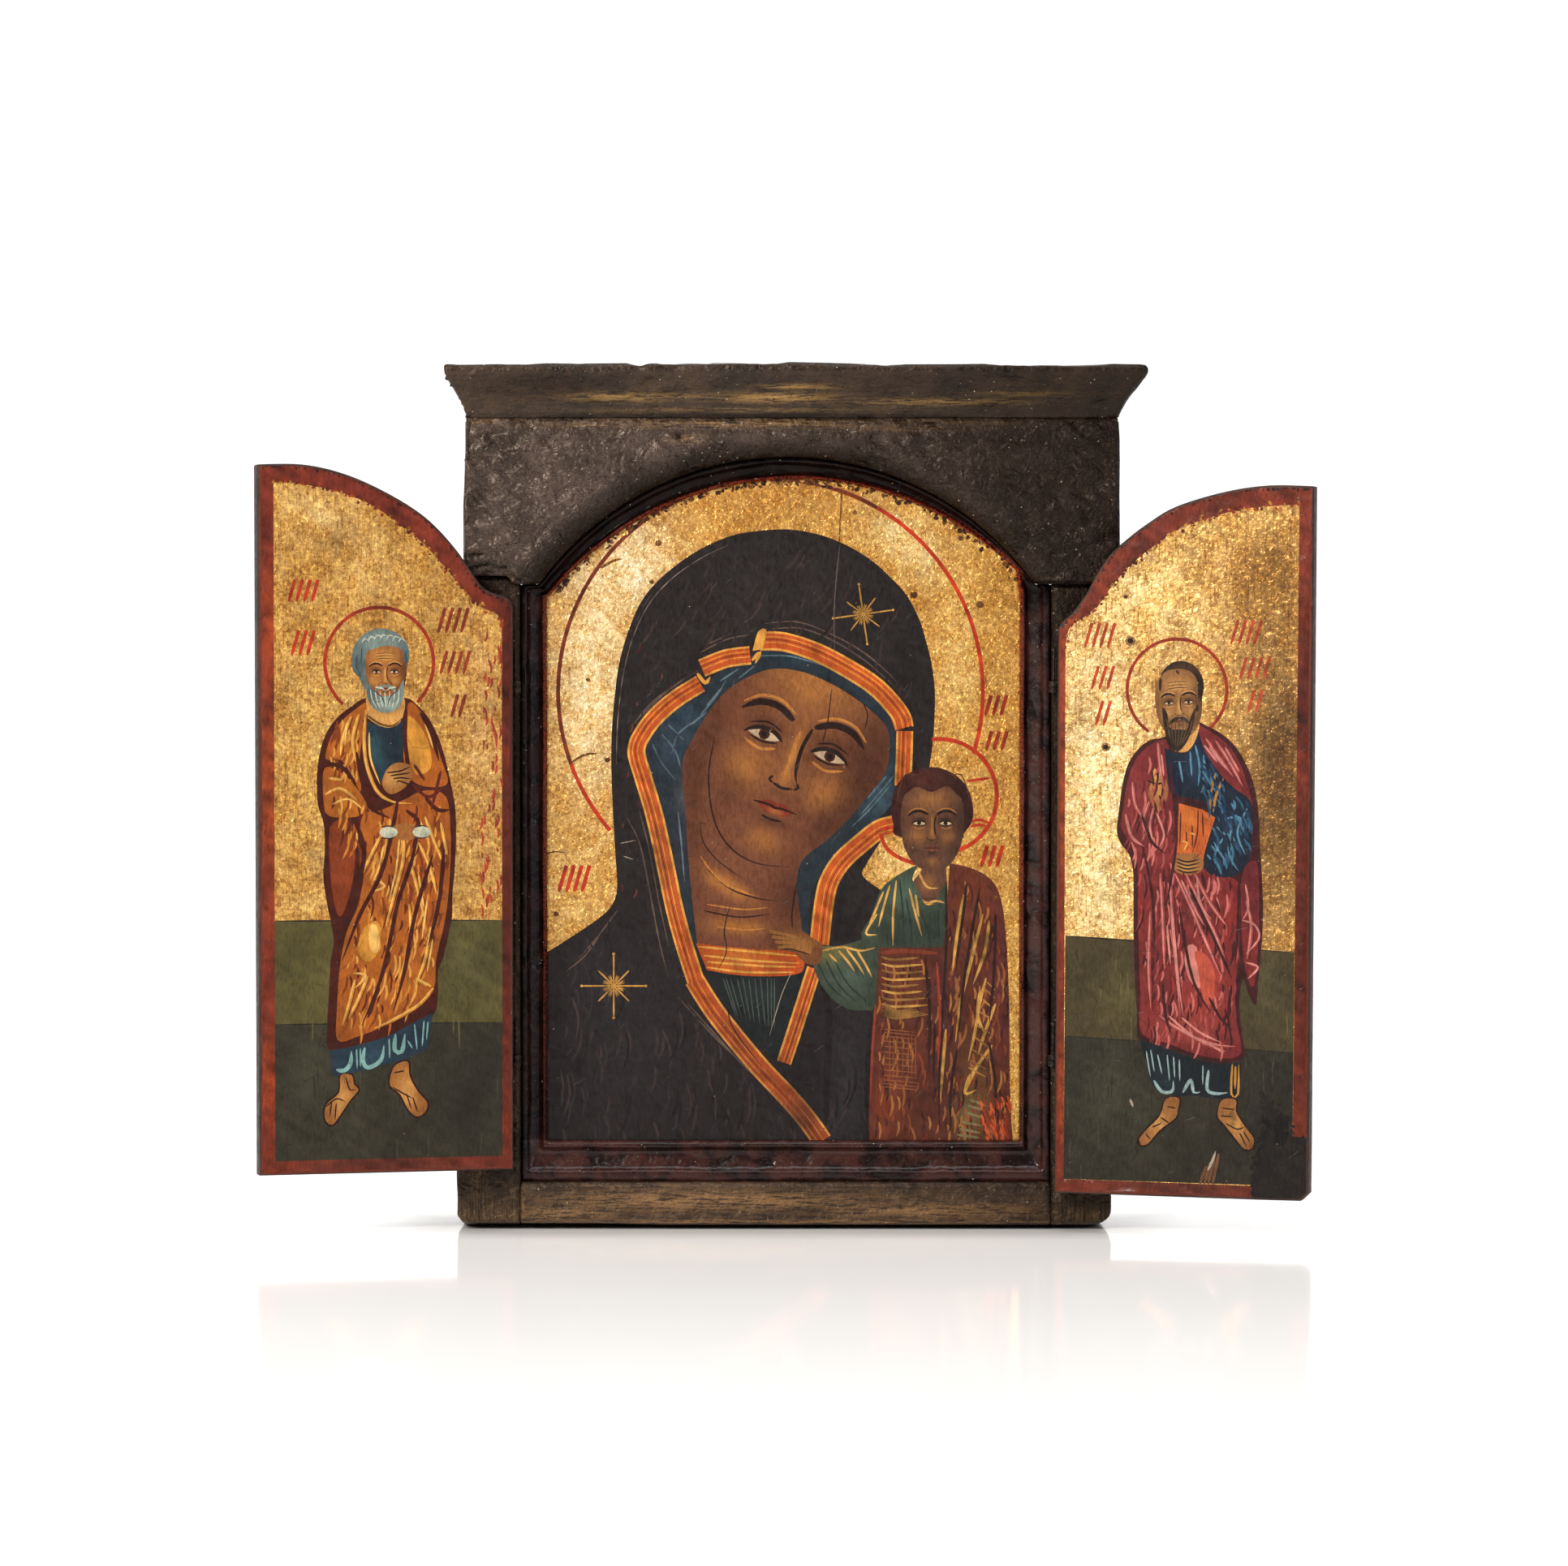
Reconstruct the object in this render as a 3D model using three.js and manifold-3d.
// Travelling icon triptych: an arched painted panel in a dark wooden frame with a flared
// cornice, and two painted wings that fold over it on wire hinges.
// Millimetres, +Z up, front towards -Y. The origin is the middle of the underside.
import * as THREE from "three";
import { mergeVertices } from "three/addons/utils/BufferGeometryUtils.js";
import Module from "manifold-3d";

const wasm = await Module();
wasm.setup();

// ---- driving dimensions -------------------------------------------------------------
const GAP = 0.3; // clearance between pieces that touch

// depths, front to back
const CROWN_FRONT = -15.5;
const STILE_FRONT = -12;
const REBATE_FLOOR = -8;
const PANEL_FRONT = -4.5;
const PANEL_BACK = 12;
const FRAME_BACK = 14;

// frame, front view; the crown sits a little to the right of the base
const BASE_LEFT = -101.9;
const BASE_RIGHT = 101.6;
const CROWN_LEFT = -99.1;
const CROWN_RIGHT = 103.9;
const WALL_LEFT = -82.2; // side walls of the rebate that takes the closed wings
const WALL_RIGHT = 83.2;
const RAIL_TOP = 14.5;
const SHOULDER_LEFT = 203.5; // underside of the crown outside the left wing's corner
const SHOULDER = 200.9; // underside of the crown next to the arch
const SHOULDER_STEP = -85.3;
const CROWN_TOP = 252;
const FOOT_RADIUS = 4;
const FOOT_RADIUS_RIGHT = 5.5;
const ARRIS = 0.9; // worn roundness of the frame's edges

// arches: [centre x, centre z, radius]
const CROWN_ARCH = [0.9, 145.6, 94.8];
const PAINT_ARCH = [3.2, 135.4, 98.0];
const PAINT_LEFT = -73.8;
const PAINT_RIGHT = 73.3;
const PAINT_BOTTOM = 27.3;
const PAINT_CORNER_LEFT = 196.6;
const PAINT_CORNER_RIGHT = 197.5;

// moulding between the rebate and the paint, as shares of its width and depths
const STRIP_SHARE = 0.24;
const LIP_SHARE = 0.74;
const HOLLOW_DEPTH = 2.6;
const LIP_HEIGHT = 1.6;
const ARCH_STEPS = 40;

// cornice
const CORNICE_TOP = 269.3;
const CORNICE_LIP = 3.8; // height of the plain band at the top
const FLARE_LEFT = 6.7;
const FLARE_RIGHT = 8.4;
const FLARE_FRONT = 8;

// wings
const WING_WIDTH = 80;
const WING_THICKNESS = 6.5;
const WING_MIDDLE = 88.8; // height above its bottom edge about which a wing leans
const WING_OPEN = 165; // degrees from closed
const WING_CLOSED_FACE = -15; // front of a closed wing
const WING_ARRIS = 0.6;
// Each wing is cut to its own curve, [from the hinge edge, above the bottom edge], which
// runs from the outer corner down to the shoulder. bottom is where the open wing hangs
// above the table, travel how far it is lifted on its loose pins to close, chip the size
// of a lost outer bottom corner and tilt its lean in degrees.
const LEFT_WING = {
  bottom: 19.3,
  travel: 0,
  chip: 0,
  tilt: 0,
  curve: [
    [80, 218.2], [66, 218.2], [53, 215.4], [40, 209.8], [28, 202.4], [18.8, 193.2],
    [12, 183.8], [8.9, 180], [4.5, 178.2], [1.2, 177.2], [0, 174.5],
  ],
};
const RIGHT_WING = {
  bottom: 12.1,
  travel: 3.9,
  chip: 2.4,
  tilt: 0.35,
  curve: [
    [80, 219.2], [66, 219.4], [52.2, 217.4], [36.9, 212.8], [27.8, 207.4], [21.7, 202.8],
    [16.2, 197.8], [12.3, 192.2], [9.2, 186.4], [4.5, 180], [1.2, 177], [0, 174.8],
  ],
};
const CURVE_STEPS = 30;

// wire hinges: an eye in the stile, an eye in the wing above it and a loose pin
const HINGE_LEFT = -83.2;
const HINGE_RIGHT = 83.6;
const HINGE_Y = -13.9;
const HINGE_SETBACK = 1.8; // from the axis to the wing's edge
const HINGE_HEIGHTS = [52, 168];
const WIRE = 0.45; // radius of the wire and the pins
const EYE_BORE = 0.75;
const EYE_RADIUS = 1.6;
const EYE_HEIGHT = 1.6;
const EYE_SHANK = 6;
const SHANK_SPLAY = 30; // degrees
const PIN_LENGTH = 14;
const PIN_TIP = 1.8; // length below the stile's eye
const PIN_HEAD = 0.95;

// ---- materials -----------------------------------------------------------------------
const finish = (color, roughness, metalness = 0) =>
  new THREE.MeshStandardMaterial({ color, roughness, metalness });
const frameWood = finish(0x3f362f, 0.45);
const baseWood = finish(0x63533b, 0.6);
const mouldingVarnish = finish(0x35191c, 0.25);
const paintedPanel = finish(0xb08a4a, 0.35, 0.3);
const paintedWing = finish(0xa8844c, 0.4, 0.3);
const iron = finish(0x2a2522, 0.6, 0.8);

// ---- geometry helpers ----------------------------------------------------------------
const radians = THREE.MathUtils.degToRad;

// Points of a circle's arc, from one angle to another in degrees.
function arc([cx, cy, radius], from, to, steps) {
  return Array.from({ length: steps + 1 }, (_, i) => {
    const angle = radians(from + ((to - from) * i) / steps);
    return new THREE.Vector2(cx + radius * Math.cos(angle), cy + radius * Math.sin(angle));
  });
}

const point = (x, y) => new THREE.Vector2(x, y);

// The two heights or angles at which an arch meets an upright or a level line.
const archHeight = ([cx, cz, radius], x) => cz + Math.sqrt(radius ** 2 - (x - cx) ** 2);
const archAngle = ([cx, cz], x, z) => THREE.MathUtils.radToDeg(Math.atan2(z - cz, x - cx));
const archSide = ([cx, cz, radius], z) => Math.sqrt(radius ** 2 - (z - cz) ** 2);

// Cleaned copy with only positions, shared where corners meet.
function welded(geometry) {
  const clean = geometry.clone();
  for (const name of Object.keys(clean.attributes)) {
    if (name !== "position") clean.deleteAttribute(name);
  }
  return mergeVertices(clean, 1e-4);
}

// A board seen from the front: an outline in X and Z, from its front to its back depth.
function board(outline, front, back, round = 0) {
  const geometry = new THREE.ExtrudeGeometry(new THREE.Shape(outline), {
    depth: back - front - 2 * round,
    bevelEnabled: round > 0,
    bevelThickness: round,
    bevelSize: round,
    bevelOffset: -round,
    bevelSegments: 2,
  });
  geometry.rotateX(Math.PI / 2);
  return welded(geometry.translate(0, back - round, 0));
}

function toSolid(geometry) {
  const mesh = welded(geometry);
  const vertProperties = Float32Array.from(mesh.attributes.position.array);
  const triVerts = Uint32Array.from(mesh.index.array);
  return new wasm.Manifold(new wasm.Mesh({ numProp: 3, vertProperties, triVerts }));
}

function fromSolid(solid) {
  const { vertProperties, triVerts } = solid.getMesh();
  const geometry = new THREE.BufferGeometry();
  geometry.setAttribute("position", new THREE.BufferAttribute(vertProperties, 3));
  geometry.setIndex(new THREE.BufferAttribute(triVerts, 1));
  return geometry;
}

// A closed skin over rings of equal count; the last ring joins the first when looped.
function skin(rings, looped) {
  const count = rings[0].length;
  const position = rings.flat().flatMap((p) => [p.x, p.y, p.z]);
  const index = [];
  const spans = looped ? rings.length : rings.length - 1;
  for (let r = 0; r < spans; r++) {
    for (let i = 0; i < count; i++) {
      const a = r * count + i;
      const b = r * count + ((i + 1) % count);
      const c = ((r + 1) % rings.length) * count + i;
      const d = ((r + 1) % rings.length) * count + ((i + 1) % count);
      index.push(a, b, d, a, d, c);
    }
  }
  if (!looped) {
    const top = (rings.length - 1) * count;
    for (let i = 0; i < count / 2 - 1; i++) {
      const [a, b, c, d] = [i, i + 1, count - 2 - i, count - 1 - i];
      index.push(a, c, b, a, d, c);
      index.push(top + a, top + b, top + c, top + a, top + c, top + d);
    }
  }
  const geometry = new THREE.BufferGeometry();
  geometry.setAttribute("position", new THREE.Float32BufferAttribute(position, 3));
  geometry.setIndex(index);
  return geometry;
}

const triptych = new THREE.Group();

function add(name, geometry, material, parent = triptych) {
  const mesh = new THREE.Mesh(geometry, material);
  mesh.name = name;
  parent.add(mesh);
  return mesh;
}

// ---- outlines ------------------------------------------------------------------------
// The rebate that takes the closed wings, drawn in by a clearance. Counter-clockwise.
function rebateOutline(inset, steps) {
  const [cx, cz, radius] = CROWN_ARCH;
  const arch = [cx, cz, radius - inset];
  const spring = SHOULDER - inset;
  const half = archSide(arch, spring);
  const start = archAngle(arch, cx + half, spring);
  return [
    point(WALL_LEFT + inset, RAIL_TOP + inset),
    point(WALL_RIGHT - inset, RAIL_TOP + inset),
    point(WALL_RIGHT - inset, spring),
    ...arc(arch, start, 180 - start, steps),
    point(WALL_LEFT + inset, spring),
  ];
}

// The painted field inside the moulding, with the same number of points.
function paintOutline(steps) {
  const shoulderRight = PAINT_RIGHT - 1.2;
  const shoulderLeft = PAINT_LEFT + 1.2;
  const from = archAngle(PAINT_ARCH, shoulderRight, archHeight(PAINT_ARCH, shoulderRight));
  const to = archAngle(PAINT_ARCH, shoulderLeft, archHeight(PAINT_ARCH, shoulderLeft));
  return [
    point(PAINT_LEFT, PAINT_BOTTOM),
    point(PAINT_RIGHT, PAINT_BOTTOM),
    point(PAINT_RIGHT, PAINT_CORNER_RIGHT),
    ...arc(PAINT_ARCH, from, to, steps),
    point(PAINT_LEFT, PAINT_CORNER_LEFT),
  ];
}

// A wing in its own plane: x from the hinge edge outwards, y up from its bottom edge.
function wingOutline({ curve, chip }) {
  const top = new THREE.SplineCurve(curve.map(([x, y]) => point(x, y)));
  return [
    point(0, 0),
    ...(chip ? [point(WING_WIDTH - chip, 0), point(WING_WIDTH, chip)] : [point(WING_WIDTH, 0)]),
    ...top.getPoints(CURVE_STEPS),
  ];
}

// ---- frame ---------------------------------------------------------------------------
const crownArch = rebateOutline(0, ARCH_STEPS);
const archFrom = 3;
const archTo = crownArch.length - 1;
const crownOutline = [
  point(CROWN_LEFT, CROWN_TOP),
  point(CROWN_LEFT, SHOULDER_LEFT),
  point(SHOULDER_STEP, SHOULDER_LEFT),
  point(SHOULDER_STEP + 1.5, SHOULDER),
  ...crownArch.slice(archFrom, archTo).reverse(),
  point(CROWN_RIGHT, SHOULDER),
  point(CROWN_RIGHT, CROWN_TOP),
];
add("crown_board", board(crownOutline, CROWN_FRONT, FRAME_BACK, ARRIS), frameWood);

// The outer edge of a stile leans from the wider base to the crown above it.
const lean = (base, crown, z) => base + ((crown - base) * z) / SHOULDER_LEFT;

const stileLeft = [
  ...arc([BASE_LEFT + FOOT_RADIUS, FOOT_RADIUS, FOOT_RADIUS], 180, 270, 6),
  point(WALL_LEFT, 0),
  point(WALL_LEFT, SHOULDER - GAP),
  point(SHOULDER_STEP + 1.1, SHOULDER - GAP),
  point(SHOULDER_STEP - 0.3, SHOULDER_LEFT - GAP),
  point(lean(BASE_LEFT, CROWN_LEFT, SHOULDER_LEFT), SHOULDER_LEFT - GAP),
];
const stileRight = [
  point(WALL_RIGHT, 0),
  ...arc([BASE_RIGHT - FOOT_RADIUS_RIGHT, FOOT_RADIUS_RIGHT, FOOT_RADIUS_RIGHT], 270, 360, 7),
  point(lean(BASE_RIGHT, CROWN_RIGHT, SHOULDER), SHOULDER - GAP),
  point(WALL_RIGHT, SHOULDER - GAP),
];
const rail = [
  point(WALL_LEFT + GAP, 0),
  point(WALL_RIGHT - GAP, 0),
  point(WALL_RIGHT - GAP, RAIL_TOP),
  point(WALL_LEFT + GAP, RAIL_TOP),
];
add("bottom_rail", board(rail, STILE_FRONT, FRAME_BACK, ARRIS), baseWood);

// Cornice: level slabs that widen upwards in a shallow hollow, then a plain rounded band.
function corniceRing(grow, z, wave) {
  const left = CROWN_LEFT + 0.4 - FLARE_LEFT * grow;
  const right = CROWN_RIGHT - 0.4 + FLARE_RIGHT * grow;
  const front = CROWN_FRONT + 0.4 - FLARE_FRONT * grow;
  const corner = 1.6;
  const middle = Array.from({ length: 13 }, (_, i) =>
    point(left + corner + ((right - left - 2 * corner) * (i + 0.5)) / 13, front));
  const edge = [
    ...arc([left + corner, front + corner, corner], 180, 270, 3),
    ...middle,
    ...arc([right - corner, front + corner, corner], 270, 360, 3),
  ];
  const height = (x) => z + wave * Math.sin(x * 0.045 + 2.3) * Math.cos(x * 0.021);
  return [
    ...edge.map((p) => new THREE.Vector3(p.x, p.y, height(p.x))),
    ...edge.reverse().map((p) => new THREE.Vector3(p.x, FRAME_BACK, height(p.x))),
  ];
}
const corniceBottom = CROWN_TOP + GAP;
const flareTop = CORNICE_TOP - CORNICE_LIP;
const FLARE_STEPS = 6;
const flare = Array.from({ length: FLARE_STEPS + 1 }, (_, i) => {
  const t = i / FLARE_STEPS;
  const grow = 0.7 * t + 0.3 * (1 - Math.cos((t * Math.PI) / 2));
  return corniceRing(grow, corniceBottom + (flareTop - corniceBottom) * t, 0);
});
add("cornice", skin([
  ...flare,
  corniceRing(1.03, CORNICE_TOP - 2.4, 0),
  corniceRing(0.98, CORNICE_TOP - 0.9, 0.6),
  corniceRing(0.88, CORNICE_TOP - 0.6, 0.6),
], false), frameWood);

// ---- painted panel and its moulding ---------------------------------------------------
add("icon_panel", board(rebateOutline(GAP, ARCH_STEPS), PANEL_FRONT, PANEL_BACK), paintedPanel);

// Section of the moulding: [share of the way from the rebate wall to the paint, depth].
// Flat strip, quarter-round hollow, rounded lip, then the back against the panel.
const mouldingBack = PANEL_FRONT - GAP;
const steps = (count) => Array.from({ length: count + 1 }, (_, i) => i / count);
const hollow = steps(5).map((t) => [
  STRIP_SHARE + (LIP_SHARE - STRIP_SHARE) * t,
  REBATE_FLOOR + 0.1 + HOLLOW_DEPTH * Math.sin(Math.acos(1 - t)),
]);
const lip = steps(5).map((t) => [
  LIP_SHARE + 0.02 + (0.98 - LIP_SHARE) * t,
  REBATE_FLOOR + HOLLOW_DEPTH - LIP_HEIGHT * Math.sin(Math.PI * t),
]);
const mouldingSection = [
  [0, REBATE_FLOOR],
  [STRIP_SHARE - 0.02, REBATE_FLOOR],
  ...hollow,
  ...lip,
  [1, mouldingBack],
  [0, mouldingBack],
];
const outer = rebateOutline(GAP, ARCH_STEPS);
const inner = paintOutline(ARCH_STEPS);
const mouldingRings = outer.map((p, i) => mouldingSection.toReversed().map(([u, y]) => {
  const q = p.clone().lerp(inner[i], u);
  return new THREE.Vector3(q.x, y, q.y);
}));
add("sight_moulding", skin(mouldingRings, true), mouldingVarnish);

// ---- hinges ---------------------------------------------------------------------------
// A cylinder standing on the hinge axis.
const upright = (radius, height) =>
  toSolid(new THREE.CylinderGeometry(radius, radius, height, 20).rotateX(Math.PI / 2));

// The shank of an eye, running level from the axis at an angle from +X.
function shank(angle, radius, length) {
  const rod = new THREE.CylinderGeometry(radius, radius, length, 10);
  rod.rotateZ(-Math.PI / 2).translate(EYE_BORE + WIRE + length / 2, 0, 0);
  return toSolid(rod.rotateZ(radians(angle)));
}

// A wire eye: a flat ring round the pin and a shank driven into the wood.
const eye = (angle) => upright(EYE_RADIUS, EYE_HEIGHT)
  .add(shank(angle, WIRE, EYE_SHANK))
  .subtract(upright(EYE_BORE, 2 * EYE_HEIGHT));

// The room an eye needs in the wood, with its ring free to pass along a travel below it.
const eyeSeat = (angle, travel) => upright(EYE_RADIUS + GAP, EYE_HEIGHT + 2 * GAP + travel)
  .translate([0, 0, -travel / 2])
  .add(shank(angle, WIRE + GAP, EYE_SHANK + GAP));

// A loose pin with a domed head, its tip below the lower eye.
function pin() {
  const top = PIN_LENGTH - PIN_TIP;
  const profile = [
    point(0, -PIN_TIP),
    point(WIRE, -PIN_TIP + WIRE),
    point(WIRE, top),
    point(PIN_HEAD, top),
    ...arc([0, top, PIN_HEAD], 30, 90, 2),
  ];
  profile[profile.length - 1].x = 0;
  return new THREE.LatheGeometry(profile, 12).rotateX(Math.PI / 2);
}

// side is +1 left of the painting and -1 right of it: the way a closed wing runs from its
// hinge. Shanks in a stile splay away from the rebate.
const stileShank = (side) => 90 + side * SHANK_SPLAY;
const wingShank = (side) => (side > 0 ? 0 : 180);
const WING_EYE_RISE = EYE_HEIGHT + GAP;

function addStile(name, outline, side, x) {
  let wood = toSolid(board(outline, STILE_FRONT, FRAME_BACK, ARRIS));
  for (const z of HINGE_HEIGHTS) {
    wood = wood.subtract(eyeSeat(stileShank(side), 0).translate([x, HINGE_Y, z]));
  }
  add(name, fromSolid(wood), frameWood);
}
addStile("stile_left", stileLeft, 1, HINGE_LEFT);
addStile("stile_right", stileRight, -1, HINGE_RIGHT);

// ---- wings ----------------------------------------------------------------------------
// A closed wing about its hinge axis, before it is swung open. The hinge edge is notched
// for the eyes; travel is how far the wing can ride up its pins.
function wingSolid(side, shape) {
  const { bottom, travel, tilt } = shape;
  const face = WING_CLOSED_FACE - HINGE_Y;
  const outline = wingOutline(shape).map((p) => point(side * (p.x + HINGE_SETBACK), p.y));
  const facing = side > 0 ? outline : outline.reverse();
  const plate = board(facing, face, face + WING_THICKNESS, WING_ARRIS);
  plate.translate(0, 0, -WING_MIDDLE).rotateY(-radians(tilt));
  plate.translate(0, 0, WING_MIDDLE + bottom);
  return HINGE_HEIGHTS.reduce((wing, z) => wing
    .subtract(eyeSeat(wingShank(side), travel + WING_EYE_RISE).translate([0, 0, z + WING_EYE_RISE])),
  toSolid(plate));
}

function addWing(side, label, x, shape) {
  const swing = new THREE.Group();
  swing.position.set(x, HINGE_Y, 0);
  swing.rotation.z = -side * radians(WING_OPEN);
  triptych.add(swing);
  add(`${label}_wing`, fromSolid(wingSolid(side, shape)), paintedWing, swing);
  HINGE_HEIGHTS.forEach((z, i) => {
    const hinge = `${label}_${["lower", "upper"][i]}`;
    const wingEye = add(`${hinge}_wing_eye`, fromSolid(eye(wingShank(side))), iron, swing);
    wingEye.position.z = z + WING_EYE_RISE;
    const stileEye = add(`${hinge}_stile_eye`, fromSolid(eye(stileShank(side))), iron);
    stileEye.position.set(x, HINGE_Y, z);
    add(`${hinge}_pin`, pin(), iron).position.set(x, HINGE_Y, z);
  });
}
addWing(1, "left", HINGE_LEFT, LEFT_WING);
addWing(-1, "right", HINGE_RIGHT, RIGHT_WING);

export default triptych;
